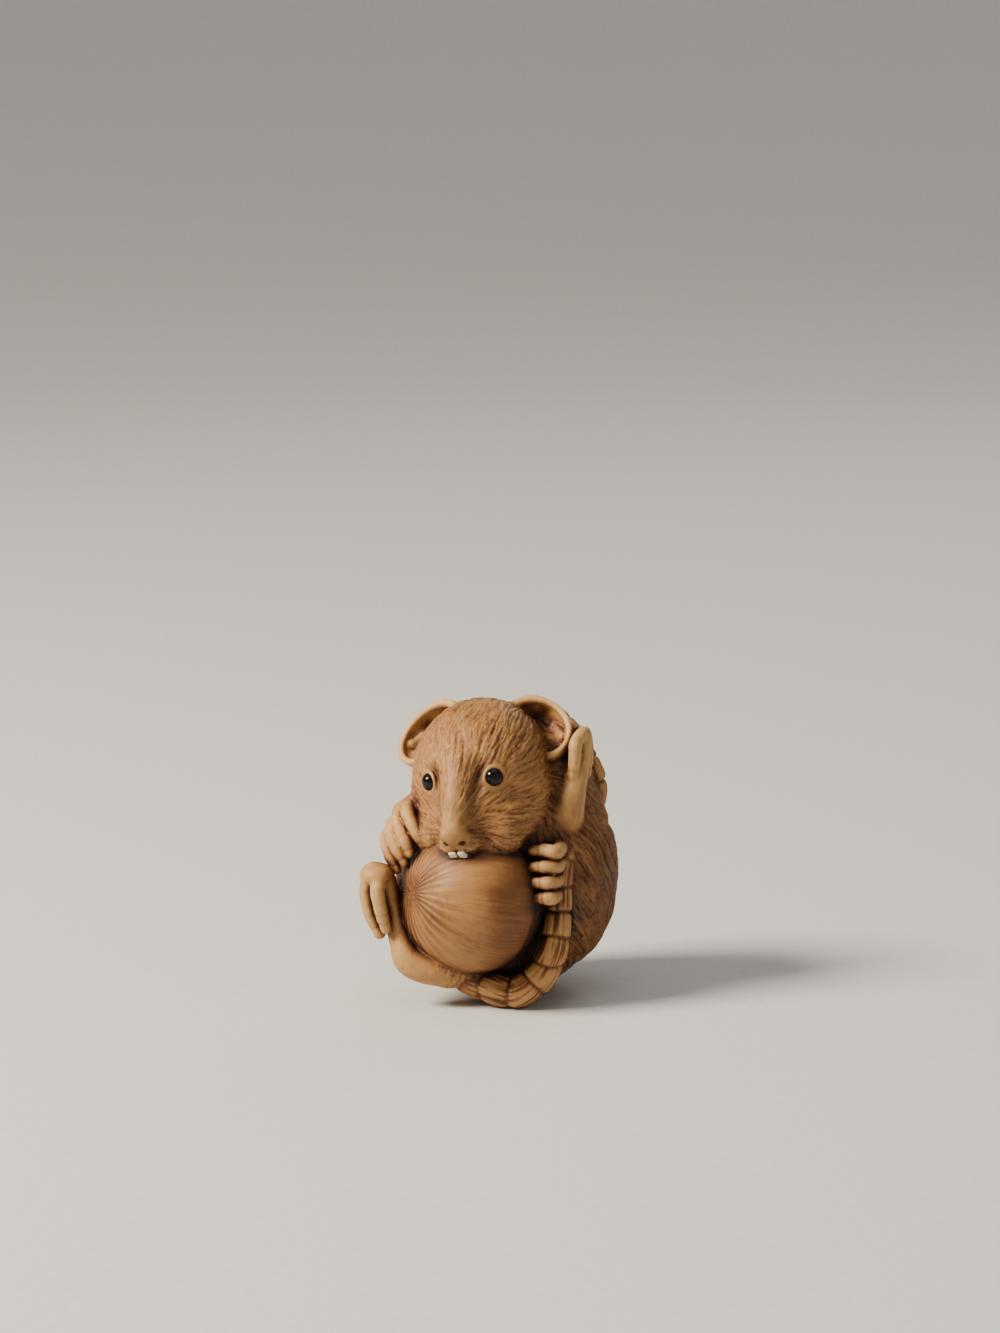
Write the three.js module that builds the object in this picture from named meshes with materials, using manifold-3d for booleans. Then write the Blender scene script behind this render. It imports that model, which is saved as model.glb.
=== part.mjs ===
// A netsuke, the toggle that holds a pouch cord at the sash: a rat curled into a ball round a
// chestnut, one hind foot raised to its ear and its ringed tail brought round under both.
// The carving is one piece of boxwood. Two horn eyes and two bone teeth are let into it.
// Millimetres. +X is to the carving's left as it faces -Y, +Z is up, and the origin is on the
// surface it stands on, under its middle.
import * as THREE from "three";
import { mergeVertices } from "three/addons/utils/BufferGeometryUtils.js";
import Module from "manifold-3d";

const wasm = await Module();
wasm.setup();

// ---- driving dimensions -------------------------------------------------------------------
const TRUNK = { at: [1.4, 4.0, 16.6], radii: [13.6, 11.6, 16.8] }; // the curled back
const HEAD_AT = [-2.3, 0, 30.4]; // middle of the skull
const HEAD_RIGHT = [0.931, -0.344, 0.122]; // towards the rat's left ear
const HEAD_FORWARD = [-0.236, -0.838, -0.497]; // from the skull to the nose
const SKULL = [8.8, 9.4, 8.6]; // half sizes across, forward, up
const NOSE_REACH = 14.7; // from the skull's middle to the middle of the nose
const NUT = { at: [-3.55, -5.5, 13.7], wide: 9.75, tall: 9.4 };
const NUT_TIP = [-0.853, -0.476, 0.215]; // from the nut's middle to its tip
const NUT_FLUTES = 30; // ridges that run from the tip
const EYE = { across: { 1: 4.5, [-1]: 4.1 }, up: 3.75, radius: 1.28, sunk: 0.45 }; // in the head's frame
// 1 is the rat's left ear and -1 its right: middle, the way it opens, its long way, half sizes.
const EARS = {
  1: { at: [7.3, -4.4, 2.2], faces: [0.24, 0.38, 0.89], long: [0.74, 0.51, -0.41], half: [4.9, 4.1] },
  [-1]: { at: [-7.9, -4.4, 2.4], faces: [-0.24, 0.38, 0.89], long: [-0.76, 0.5, -0.36], half: [5.2, 3.8] },
};
const EAR_WALL = 0.75;
const TOOTH = { at: [0.64, 15.0, -2.3], size: [1.1, 0.85, 1.9], lean: 0.25 };
const INLAY_GAP = 0.1; // between an inlay and its seat
const CORD_HOLE = { x: -2.6, radius: 1.9, meet: [9.2, 9.5] }; // the two drillings meet at y, z

// ---- solids from three.js geometries -----------------------------------------------------
function solid(geometry) {
  const bare = new THREE.BufferGeometry();
  bare.setAttribute("position", geometry.getAttribute("position"));
  bare.setIndex(geometry.index);
  const merged = mergeVertices(bare, 1e-4);
  const made = new wasm.Manifold(
    new wasm.Mesh({
      numProp: 3,
      vertProperties: new Float32Array(merged.attributes.position.array),
      triVerts: new Uint32Array(closedTriangles(merged)),
    }),
  );
  return made;
}

// The index without the triangles that shrink to a line at a pole.
function closedTriangles(geometry) {
  const index = geometry.index.array;
  const kept = [];
  for (let i = 0; i < index.length; i += 3) {
    const [a, b, c] = [index[i], index[i + 1], index[i + 2]];
    if (a !== b && b !== c && a !== c) kept.push(a, b, c);
  }
  return kept;
}

function meshOf(name, shape, material) {
  const made = shape.getMesh();
  const geometry = new THREE.BufferGeometry();
  geometry.setAttribute("position", new THREE.BufferAttribute(made.vertProperties, 3));
  geometry.setIndex(new THREE.BufferAttribute(made.triVerts, 1));
  geometry.computeVertexNormals();
  const mesh = new THREE.Mesh(geometry, material);
  mesh.name = name;
  return mesh;
}

const union = (shapes) => shapes.reduce((whole, shape) => whole.add(shape));
const vec = (p) => new THREE.Vector3(...p);
const mix = THREE.MathUtils.lerp;

// A frame whose z axis is along the given way.
function turnTo(way) {
  return new THREE.Quaternion().setFromUnitVectors(new THREE.Vector3(0, 0, 1), vec(way).normalize());
}

// ---- fields: how far a point is outside a form, below zero inside it ------------------------
function eggField({ at, radii, turn }) {
  const back = turn ? turn.clone().invert() : null;
  const p = new THREE.Vector3();
  return (point) => {
    p.set(point.x - at[0], point.y - at[1], point.z - at[2]);
    if (back) p.applyQuaternion(back);
    const near = Math.hypot(p.x / radii[0], p.y / radii[1], p.z / radii[2]);
    const slope = Math.hypot(p.x / radii[0] ** 2, p.y / radii[1] ** 2, p.z / radii[2] ** 2);
    return slope < 1e-9 ? -Math.min(...radii) : (near * (near - 1)) / slope;
  };
}

// A round bar that tapers from a to b.
function barField({ from, to, radii }) {
  const start = vec(from);
  const run = vec(to).sub(start);
  const p = new THREE.Vector3();
  return (point) => {
    p.copy(point).sub(start);
    const t = THREE.MathUtils.clamp(p.dot(run) / run.lengthSq(), 0, 1);
    return p.addScaledVector(run, -t).length() - mix(radii[0], radii[1], t);
  };
}

function blend(a, b, soft) {
  const h = Math.max(soft - Math.abs(a - b), 0) / soft;
  return Math.min(a, b) - (h * h * soft) / 4;
}

// Forms flow into each other over their soft width, and cuts are taken out the same way.
function fieldOf(forms) {
  const parts = forms.map((form) => ({
    field: form.from ? barField(form) : eggField(form),
    soft: form.soft ?? 2,
    cut: form.cut,
  }));
  return (point) =>
    parts.reduce((d, { field, soft, cut }) => {
      const e = field(point);
      return cut ? -blend(-d, e, soft) : blend(d, e, soft);
    }, 1e3);
}

// A ball of the given fineness whose points are moved out from the middle to the field's edge.
function dressed(field, middle, pole, sides, rings) {
  const geometry = new THREE.SphereGeometry(1, sides, rings);
  geometry.applyQuaternion(new THREE.Quaternion().setFromUnitVectors(new THREE.Vector3(0, 1, 0), pole));
  const position = geometry.attributes.position;
  const way = new THREE.Vector3();
  const at = new THREE.Vector3();
  for (let i = 0; i < position.count; i++) {
    way.fromBufferAttribute(position, i).normalize();
    let reach = 30;
    for (let step = 0; step < 60; step++) {
      at.copy(middle).addScaledVector(way, reach);
      reach -= field(at) * 0.8;
    }
    at.copy(middle).addScaledVector(way, reach);
    position.setXYZ(i, at.x, at.y, at.z);
  }
  return geometry;
}

function egg({ at, radii, turn }, sides = 18, rings = 12) {
  const geometry = new THREE.SphereGeometry(1, sides, rings);
  geometry.scale(...radii);
  if (turn) geometry.applyQuaternion(turn);
  geometry.translate(...at);
  return geometry;
}

// A limb with round ends along a smooth line through the points. Each point is x, y, z, radius.
// It has a ring of points at each of the stations, and girth may swell or pinch it at each.
function limb(points, sides, stations, girth = () => 1) {
  const spine = new THREE.CatmullRomCurve3(points.map(([x, y, z]) => new THREE.Vector3(x, y, z)));
  const radiusAt = (t) => {
    const place = spine.getUtoTmapping(t) * (points.length - 1);
    const i = Math.min(Math.floor(place), points.length - 2);
    return mix(points[i][3], points[i + 1][3], place - i) * girth(t);
  };
  const rings = stations.map((t) => ({ t, turn: Math.PI / 2 }));
  const quarter = Math.PI / 4;
  rings.unshift({ t: 0, turn: 0 }, { t: 0, turn: quarter });
  rings.push({ t: 1, turn: 3 * quarter }, { t: 1, turn: Math.PI });
  const fine = 200;
  const frames = spine.computeFrenetFrames(fine);
  const geometry = new THREE.SphereGeometry(1, sides, rings.length - 1);
  const position = geometry.attributes.position;
  const out = new THREE.Vector3();
  for (let i = 0; i < position.count; i++) {
    const { t, turn } = rings[Math.floor(i / (sides + 1))];
    const around = (-2 * Math.PI * (i % (sides + 1))) / sides;
    const k = Math.round(t * fine);
    const radius = radiusAt(t);
    out.copy(spine.getPointAt(t));
    out.addScaledVector(frames.tangents[k], -Math.cos(turn) * radius);
    out.addScaledVector(frames.normals[k], Math.cos(around) * Math.sin(turn) * radius);
    out.addScaledVector(frames.binormals[k], Math.sin(around) * Math.sin(turn) * radius);
    position.setXYZ(i, out.x, out.y, out.z);
  }
  const made = solid(geometry);
  return made.volume() < 0 ? solid(flipped(geometry)) : made;
}

const evenly = (count) => Array.from({ length: count + 1 }, (_, i) => i / count);

function flipped(geometry) {
  const index = geometry.index.array;
  for (let i = 0; i < index.length; i += 3) [index[i + 1], index[i + 2]] = [index[i + 2], index[i + 1]];
  return geometry;
}

// ---- the head -----------------------------------------------------------------------------
const right = vec(HEAD_RIGHT).normalize();
const forward = vec(HEAD_FORWARD).addScaledVector(right, -vec(HEAD_FORWARD).dot(right)).normalize();
const up = new THREE.Vector3().crossVectors(forward, right);
const headTurn = new THREE.Quaternion().setFromRotationMatrix(
  new THREE.Matrix4().makeBasis(right, forward.clone().negate(), up),
);

// A point or a way in the head's frame: across, forward, up.
const headWay = ([x, y, z]) => new THREE.Vector3(x, -y, z).applyQuaternion(headTurn);
const headPoint = (p) => headWay(p).add(vec(HEAD_AT)).toArray();
const bothSides = ([x, y, z]) => [[x, y, z], [-x, y, z]];

function inHead(form) {
  if (form.from) return { ...form, from: headPoint(form.from), to: headPoint(form.to) };
  return { ...form, at: headPoint(form.at), turn: headTurn };
}

function headForms() {
  const jowls = bothSides([4.9, 2.8, -3.0]).map((at) => ({ at, radii: [4.4, 5.6, 4.8], soft: 3 }));
  const cheeks = bothSides([3.9, 8.8, -3.2]).map((at) => ({ at, radii: [3.6, 4.4, 3.6], soft: 2.5 }));
  const lips = bothSides([1.15, 13.6, -1.4]).map((at) => ({ at, radii: [1.6, 1.8, 1.1], soft: 1.2 }));
  // The face falls away beside the ridge of the nose, in front of each eye.
  const hollows = [1, -1].map((side) => ({
    from: [side * 3.6, 8.6, 6.2],
    to: [side * 3.1, 14.2, 2.2],
    radii: [1.9, 1.6],
    soft: 1.3,
    cut: true,
  }));
  return [
    { at: [0, 0, 0], radii: SKULL },
    { from: [0, 5, 0.6], to: [0, NOSE_REACH - 1.2, 0.3], radii: [6.0, 1.9], soft: 3 },
    ...jowls,
    ...cheeks,
    ...hollows,
    { from: [0, 6, 4.8], to: [0, 11, 2.9], radii: [2.7, 1.5], soft: 0.9 },
    { from: [0, 11, 2.9], to: [0, NOSE_REACH - 0.6, 0.9], radii: [1.5, 1.6], soft: 0.9 },
    ...lips,
    { at: [0, 11.2, -4.6], radii: [3.4, 3.4, 2.8], soft: 2 }, // lower jaw, down on the nut
  ].map(inHead);
}
const headField = fieldOf(headForms());

// The point of the head's surface straight ahead of a place across and up, or a little under it.
function onHead(across, high, sunk = 0) {
  const at = vec(headPoint([across, 24, high]));
  for (let step = 0; step < 80; step++) at.addScaledVector(forward, -(headField(at) + sunk) * 0.8);
  return at;
}

function earCup(side) {
  const { at, faces: opens, long: lies, half } = EARS[side];
  const faces = headWay(opens).normalize();
  const long = headWay(lies);
  long.addScaledVector(faces, -long.dot(faces)).normalize();
  const across = new THREE.Vector3().crossVectors(faces, long);
  const turn = new THREE.Quaternion().setFromRotationMatrix(new THREE.Matrix4().makeBasis(long, across, faces));
  const middle = vec(headPoint(at));
  const place = (x, y, z) => new THREE.Vector3(x, y, z).applyQuaternion(turn).add(middle).toArray();
  const outer = { at: place(0, 0, -0.5), radii: [half[0], half[1], 3.4], turn };
  const inner = { at: place(0, 0, 0.3), radii: [half[0] - EAR_WALL, half[1] - EAR_WALL, 3.3], turn };
  const fold = { at: place(1.9, 0.5 * side, -1.7), radii: [1.9, 1.9, 1.2], turn };
  // The cup is cut off square to the way it faces, so that its rim stands up.
  const lid = new THREE.BoxGeometry(14, 14, 6).applyQuaternion(turn).translate(...place(0, 0, 3.35));
  return solid(egg(outer, 20, 10)).subtract(solid(lid)).subtract(solid(egg(inner, 16, 8))).add(solid(egg(fold, 8, 5)));
}

const eyeAt = (side) => onHead(side * EYE.across[side], EYE.up, EYE.sunk);
const eyeFaces = (side) => headWay([side * 0.62, 0.68, 0.4]).normalize();

function eyelid(side) {
  const ring = new THREE.TorusGeometry(EYE.radius + 0.12, 0.26, 4, 12);
  ring.applyQuaternion(turnTo(eyeFaces(side).toArray()));
  const lift = eyeAt(side).addScaledVector(eyeFaces(side), 0.35);
  return solid(ring.translate(...lift.toArray()));
}

const eyeBall = (side, grow = 0) => {
  const radius = EYE.radius + grow;
  return solid(egg({ at: eyeAt(side).toArray(), radii: [radius, radius, radius] }, 12, 8));
};

function tooth(side, grow = 0) {
  const [wide, deep, tall] = TOOTH.size.map((s) => s + 2 * grow);
  const block = new THREE.BoxGeometry(wide, deep, tall);
  block.rotateX(TOOTH.lean).applyQuaternion(headTurn);
  return solid(block.translate(...headPoint([side * TOOTH.at[0], TOOTH.at[1], TOOTH.at[2]])));
}

// ---- the chestnut ---------------------------------------------------------------------------
function nut() {
  const sides = 2 * NUT_FLUTES;
  const rings = 12;
  const geometry = new THREE.SphereGeometry(1, sides, rings);
  const position = geometry.attributes.position;
  for (let i = 0; i < position.count; i++) {
    const row = Math.floor(i / (sides + 1));
    const column = i % (sides + 1);
    const fromTip = (row / rings) * Math.PI;
    // The flutes are deepest a little way from the tip and die out at the nut's waist.
    const depth = 0.45 * Math.sin(fromTip) * Math.exp(-(((fromTip - 0.3) / 0.42) ** 2));
    const flute = column % 2 ? -depth : 0;
    const dimple = 0.25 * Math.exp(-((fromTip / 0.16) ** 2));
    position.setXYZ(
      i,
      position.getX(i) * (NUT.wide + flute),
      position.getY(i) * (NUT.tall + flute - dimple),
      position.getZ(i) * (NUT.wide + flute),
    );
  }
  const turn = new THREE.Quaternion().setFromUnitVectors(new THREE.Vector3(0, 1, 0), vec(NUT_TIP).normalize());
  return solid(geometry.applyQuaternion(turn).translate(...NUT.at));
}

// ---- the trunk, haunches and hump ------------------------------------------------------------
function trunkForms() {
  return [
    TRUNK,
    { at: [2.4, 5.6, 27.6], radii: [8.6, 8.2, 9.0], soft: 5 }, // shoulders behind the head
    { at: [8.6, 1.6, 14.0], radii: [6.4, 8.2, 10.0], soft: 2 }, // haunch of the raised leg
    { at: [-6.6, 0.6, 13.6], radii: [7.2, 7.4, 9.4], soft: 2 }, // haunch of the lower leg
    { at: [-0.6, 2.4, 5.6], radii: [9.0, 9.6, 5.9], soft: 2.5 }, // the rump it sits on
    { at: [7.6, 1.8, 28.4], radii: [3.6, 4.6, 5.0], soft: 2 }, // the neck behind the raised foot
  ];
}

// ---- limbs ---------------------------------------------------------------------------------
function lowerLeg() {
  const shin = limb(
    [[-3.6, -5.2, 5.4, 3.4], [-7.4, -7.6, 5.2, 2.6], [-11.6, -7.9, 6.1, 2.1], [-12.9, -6.9, 9.0, 1.6],
      [-14.0, -6.3, 13.2, 1.5], [-15.4, -6.0, 16.9, 1.7]],
    9, evenly(12),
  );
  const ball = solid(egg({ at: [-16.1, -5.9, 17.1], radii: [2.2, 2.6, 1.6] }, 12, 8));
  const toes = [
    [[-15.5, -7.0, 17.2, 1.05], [-15.9, -8.3, 15.6, 0.95], [-15.4, -8.6, 12.8, 0.85], [-14.8, -8.2, 10.4, 0.7]],
    [[-16.6, -6.2, 17.5, 1.15], [-17.3, -6.7, 15.6, 1.0], [-16.9, -6.9, 12.4, 0.95], [-15.7, -7.0, 9.6, 0.8]],
    [[-16.4, -4.6, 17.4, 1.1], [-17.0, -4.6, 15.4, 0.95], [-16.6, -4.7, 12.4, 0.9], [-15.6, -4.9, 9.9, 0.75]],
    [[-15.6, -3.4, 17.0, 1.0], [-16.0, -2.7, 15.0, 0.9], [-15.6, -2.9, 12.4, 0.85], [-14.9, -3.3, 10.4, 0.7]],
  ];
  return union([shin, ball, ...toes.map((toe) => limb(toe, 6, evenly(5)))]);
}

function raisedLeg() {
  const foot = limb(
    [[8.2, -1.2, 21.8, 2.2], [8.7, -3.2, 24.8, 2.25], [9.8, -2.8, 28.2, 1.5], [10.5, -2.0, 31.6, 1.2],
      [10.8, -1.4, 34.0, 1.2]],
    10, evenly(8),
  );
  const toes = [
    [[10.6, -2.0, 34.9, 0.9], [9.9, -3.2, 34.1, 0.85], [9.7, -3.7, 31.9, 0.8], [9.5, -3.6, 29.7, 0.6]],
    [[11.0, -0.5, 34.9, 0.9], [11.3, -0.6, 34.0, 0.85], [11.4, -0.9, 31.8, 0.8], [11.3, -1.2, 29.6, 0.6]],
    [[10.6, 0.9, 34.7, 0.9], [11.0, 1.3, 33.8, 0.85], [11.3, 1.2, 31.6, 0.8], [11.3, 0.8, 29.6, 0.6]],
    [[10.0, 2.2, 34.3, 0.85], [10.5, 3.0, 33.4, 0.8], [10.9, 3.0, 31.2, 0.75], [11.0, 2.6, 29.4, 0.6]],
  ];
  return union([foot, ...toes.map((toe) => limb(toe, 6, evenly(5)))]);
}

// The paw on the left of the nut as seen from the front, its fingers down over the nut's edge.
function rightPaw() {
  const arm = limb([[-4.0, 5.0, 24.0, 3.2], [-9.2, 1.6, 25.0, 2.3], [-12.2, -1.6, 24.2, 2.0]], 10, evenly(5));
  const fingers = [
    [[-11.4, -1.8, 25.4, 1.05], [-12.0, -4.4, 25.0, 1.0], [-10.9, -6.2, 22.9, 0.9], [-9.9, -6.4, 21.2, 0.65]],
    [[-12.2, -1.6, 24.8, 1.05], [-13.2, -4.2, 23.9, 1.0], [-12.3, -6.0, 21.7, 0.9], [-11.7, -6.2, 20.0, 0.65]],
    [[-12.8, -1.4, 24.0, 1.05], [-14.1, -3.9, 22.8, 1.0], [-13.3, -5.6, 20.4, 0.9], [-12.4, -5.9, 18.7, 0.65]],
    [[-13.0, -1.0, 23.0, 1.05], [-14.7, -3.2, 21.4, 1.0], [-14.2, -4.7, 19.2, 0.85], [-13.4, -5.2, 17.6, 0.6]],
  ];
  return union([arm, ...fingers.map((finger) => limb(finger, 6, evenly(5)))]);
}

// The other paw, whose four fingers lie across the tail on to the nut, one above the other.
const LEFT_FINGERS = { top: 20.7, pitch: 1.92, radius: 0.95 };
function leftPaw() {
  const { top, pitch, radius } = LEFT_FINGERS;
  const fingers = [-8.2, -9.2, -10.0, -10.3].map((y, i) => {
    const z = top - pitch * i;
    const x = 4.3 + 0.07 * i * i;
    return limb(
      [[x, y, z + 0.1, 0.68], [x + 1.5, y - 0.4, z + 0.15, radius], [7.0, -9.0, z, radius], [7.8, -6.1, z, radius]],
      6, evenly(5),
    );
  });
  return union(fingers);
}

// ---- the tail ------------------------------------------------------------------------------
const TAIL = [
  [-4.6, -6.0, 3.9, 2.3], [-1.4, -7.8, 2.7, 2.05], [1.9, -8.5, 1.9, 2.1], [4.8, -8.8, 3.9, 2.05],
  [6.6, -8.6, 7.0, 1.95], [7.3, -7.9, 10.2, 1.85], [7.5, -7.2, 13.3, 1.75], [7.7, -6.4, 16.6, 1.65],
  [8.4, -4.2, 20.0, 1.6], [10.2, 0.4, 21.6, 1.6], [11.8, 3.9, 23.2, 1.55], [12.6, 5.2, 25.6, 1.5],
  [12.3, 5.9, 28.3, 1.45], [10.7, 6.8, 31.6, 1.35], [8.5, 7.8, 34.6, 1.3], [6.0, 9.2, 35.8, 1.2],
  [2.8, 11.2, 34.6, 1.1], [-0.8, 12.6, 32.0, 1.0], [-3.4, 13.4, 28.6, 0.85], [-4.6, 13.8, 25.6, 0.6],
];
const TAIL_SLEEVES = 24; // from root to tip
const SLEEVE_SPREAD = 0.85; // below 1 the sleeves shorten towards the tip
const SLEEVE_SWELL = 0.14; // from the pinch at each end of a sleeve to its fullest part

// Two rings of points to a sleeve: the pinch it starts from and its fullest part.
const tailPlaces = evenly(2 * TAIL_SLEEVES).map((share) => 1 - (1 - share) ** (1 / SLEEVE_SPREAD));

function tail() {
  const swell = (t) => (tailPlaces.indexOf(t) % 2 ? 1 + SLEEVE_SWELL / 2 : 1 - SLEEVE_SWELL / 2);
  return limb(TAIL, 9, tailPlaces, swell);
}

// ---- the carving ---------------------------------------------------------------------------
function cordHoles() {
  const { x, radius, meet } = CORD_HOLE;
  const [y, z] = meet;
  const back = new THREE.CylinderGeometry(radius, radius, 14, 14).translate(x, y + 7, z);
  const under = new THREE.CylinderGeometry(radius, radius, 16, 14).rotateX(Math.PI / 2).translate(x, y, z - 8);
  const elbow = egg({ at: [x, y, z], radii: [radius, radius, radius] }, 14, 8);
  return union([solid(back), solid(under), solid(elbow)]);
}

function carving() {
  const whole = union([
    solid(dressed(fieldOf(trunkForms()), vec(TRUNK.at), new THREE.Vector3(0, 0, 1), 26, 19)),
    solid(dressed(headField, vec(HEAD_AT), forward, 29, 24)),
    nut(),
    earCup(1),
    earCup(-1),
    eyelid(1),
    eyelid(-1),
    lowerLeg(),
    raisedLeg(),
    rightPaw(),
    leftPaw(),
    tail(),
  ]);
  const ground = solid(new THREE.BoxGeometry(80, 80, 10).translate(0, 0, -5));
  const cuts = [ground, cordHoles()];
  for (const side of [1, -1]) cuts.push(eyeBall(side, INLAY_GAP), tooth(side, INLAY_GAP));
  return cuts.reduce((left, cut) => left.subtract(cut), outerShell(whole));
}

// The pockets left where several round forms meet are inside the block, so they are wood.
const outerShell = (shape) => shape.decompose().reduce((a, b) => (a.volume() > b.volume() ? a : b));

const boxwood = new THREE.MeshStandardMaterial({ color: 0xb98248, roughness: 0.45, metalness: 0 });
const horn = new THREE.MeshStandardMaterial({ color: 0x0c0908, roughness: 0.12, metalness: 0 });
const bone = new THREE.MeshStandardMaterial({ color: 0xe6decb, roughness: 0.35, metalness: 0 });

const netsuke = new THREE.Group();
netsuke.add(meshOf("rat_and_chestnut", carving(), boxwood));
netsuke.add(meshOf("left_eye", eyeBall(1), horn), meshOf("right_eye", eyeBall(-1), horn));
netsuke.add(meshOf("left_tooth", tooth(1), bone), meshOf("right_tooth", tooth(-1), bone));

export default netsuke;
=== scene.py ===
"""A netsuke: a rat curled into a ball round a chestnut, carved from one piece of boxwood, with
inlaid horn eyes and bone teeth. Lengths are worked in millimetres and made metres at the end."""

import math

import bmesh
import bpy
import numpy as np
from mathutils import Matrix, Vector, kdtree


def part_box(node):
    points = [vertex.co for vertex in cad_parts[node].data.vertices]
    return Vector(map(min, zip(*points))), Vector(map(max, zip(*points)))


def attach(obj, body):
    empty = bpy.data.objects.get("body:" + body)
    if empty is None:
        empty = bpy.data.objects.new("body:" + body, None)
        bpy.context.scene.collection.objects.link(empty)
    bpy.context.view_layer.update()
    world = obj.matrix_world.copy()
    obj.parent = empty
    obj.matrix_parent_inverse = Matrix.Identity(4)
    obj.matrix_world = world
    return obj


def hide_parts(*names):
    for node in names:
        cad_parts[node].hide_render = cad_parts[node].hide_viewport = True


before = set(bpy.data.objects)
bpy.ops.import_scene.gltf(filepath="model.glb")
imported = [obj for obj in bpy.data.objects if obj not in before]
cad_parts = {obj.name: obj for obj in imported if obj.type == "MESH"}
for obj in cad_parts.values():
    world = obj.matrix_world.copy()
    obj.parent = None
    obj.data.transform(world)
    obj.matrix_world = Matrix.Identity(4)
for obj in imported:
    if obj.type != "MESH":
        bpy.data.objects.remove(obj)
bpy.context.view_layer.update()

# ---- sizes of the carving, in millimetres ----------------------------------------------------
TALL = 39.185  # from the flat it stands on to the top of the taller ear
low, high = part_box("rat_and_chestnut")
MM = (high.z - low.z) / TALL  # one of these millimetres, in the frame's metres

TRUNK_MIDDLE = (1.4, 4.0, 16.6)
TRUNK_FORMS = [  # middle, half sizes, how softly it flows into the rest
    (TRUNK_MIDDLE, (13.6, 11.6, 16.8), 0),
    ((2.4, 5.6, 27.6), (8.6, 8.2, 9.0), 5),  # shoulders behind the head
    ((8.6, 1.6, 14.0), (6.4, 8.2, 10.0), 2),  # haunch of the raised leg
    ((-6.6, 0.6, 13.6), (7.2, 7.4, 9.4), 2),  # haunch of the lower leg
    ((-0.6, 2.4, 5.6), (9.0, 9.6, 5.9), 2.5),  # the rump it sits on
    ((7.6, 1.8, 28.4), (3.6, 4.6, 5.0), 2),  # the neck behind the raised foot
]
HEAD_MIDDLE = np.array((-2.3, 0, 30.4))
HEAD_RIGHT = (0.931, -0.344, 0.122)  # towards the rat's left ear
HEAD_FORWARD = (-0.236, -0.838, -0.497)
SKULL = (8.8, 9.4, 8.6)
NOSE_REACH = 14.7
NUT_MIDDLE = np.array((-3.55, -5.5, 13.7))
NUT_WIDE, NUT_TALL = 9.75, 9.4
NUT_TIP = (-0.853, -0.476, 0.215)
NUT_FLUTES = 30
EYE_ACROSS, EYE_UP, EYE_RADIUS, EYE_SUNK = {1: 4.5, -1: 4.1}, 3.75, 1.28, 0.45
EARS = {  # 1 is the rat's left, -1 its right: middle, the way it opens, its long way, half sizes
    1: ((7.3, -4.4, 2.2), (0.24, 0.38, 0.89), (0.74, 0.51, -0.41), (4.9, 4.1)),
    -1: ((-7.9, -4.4, 2.4), (-0.24, 0.38, 0.89), (-0.76, 0.5, -0.36), (5.2, 3.8)),
}
EAR_WALL = 0.75
TOOTH_MIDDLE, TOOTH_SIZE, TOOTH_LEAN = (0.64, 15.0, -2.3), (1.1, 0.85, 1.9), 0.25
CORD_HOLE_X, CORD_HOLE_RADIUS, CORD_HOLE_MEET = -2.6, 1.9, (9.2, 9.5)
HAUNCHES = [((14.0, 2.6, 12.6), (7.0, 8.6, 9.4)), ((-11.6, 3.6, 11.6), (6.5, 7.6, 8.8))]
SPINE_X = 0.9

# Each limb is a run of x, y, z, radius.
SHIN = [(-3.6, -5.2, 5.4, 3.4), (-7.4, -7.6, 5.2, 2.6), (-11.6, -7.9, 6.1, 2.1),
        (-12.9, -6.9, 9.0, 1.6), (-14.0, -6.3, 13.2, 1.5), (-15.4, -6.0, 16.9, 1.7)]
SOLE = ((-16.1, -5.9, 17.1), (2.2, 2.6, 1.6))
LOWER_TOES = [
    [(-15.5, -7.0, 17.2, 1.05), (-15.9, -8.3, 15.6, 0.95), (-15.4, -8.6, 12.8, 0.85),
     (-14.8, -8.2, 10.4, 0.7)],
    [(-16.6, -6.2, 17.5, 1.15), (-17.3, -6.7, 15.6, 1.0), (-16.9, -6.9, 12.4, 0.95),
     (-15.7, -7.0, 9.6, 0.8)],
    [(-16.4, -4.6, 17.4, 1.1), (-17.0, -4.6, 15.4, 0.95), (-16.6, -4.7, 12.4, 0.9),
     (-15.6, -4.9, 9.9, 0.75)],
    [(-15.6, -3.4, 17.0, 1.0), (-16.0, -2.7, 15.0, 0.9), (-15.6, -2.9, 12.4, 0.85),
     (-14.9, -3.3, 10.4, 0.7)],
]
RAISED_FOOT = [(8.2, -1.2, 21.8, 2.2), (8.7, -3.2, 24.8, 2.25), (9.8, -2.8, 28.2, 1.5),
               (10.5, -2.0, 31.6, 1.2), (10.8, -1.4, 34.0, 1.2)]
RAISED_TOES = [
    [(10.6, -2.0, 34.9, 0.9), (9.9, -3.2, 34.1, 0.85), (9.7, -3.7, 31.9, 0.8),
     (9.5, -3.6, 29.7, 0.6)],
    [(11.0, -0.5, 34.9, 0.9), (11.3, -0.6, 34.0, 0.85), (11.4, -0.9, 31.8, 0.8),
     (11.3, -1.2, 29.6, 0.6)],
    [(10.6, 0.9, 34.7, 0.9), (11.0, 1.3, 33.8, 0.85), (11.3, 1.2, 31.6, 0.8),
     (11.3, 0.8, 29.6, 0.6)],
    [(10.0, 2.2, 34.3, 0.85), (10.5, 3.0, 33.4, 0.8), (10.9, 3.0, 31.2, 0.75),
     (11.0, 2.6, 29.4, 0.6)],
]
RIGHT_ARM = [(-4.0, 5.0, 24.0, 3.2), (-9.2, 1.6, 25.0, 2.3), (-12.2, -1.6, 24.2, 2.0)]
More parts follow.
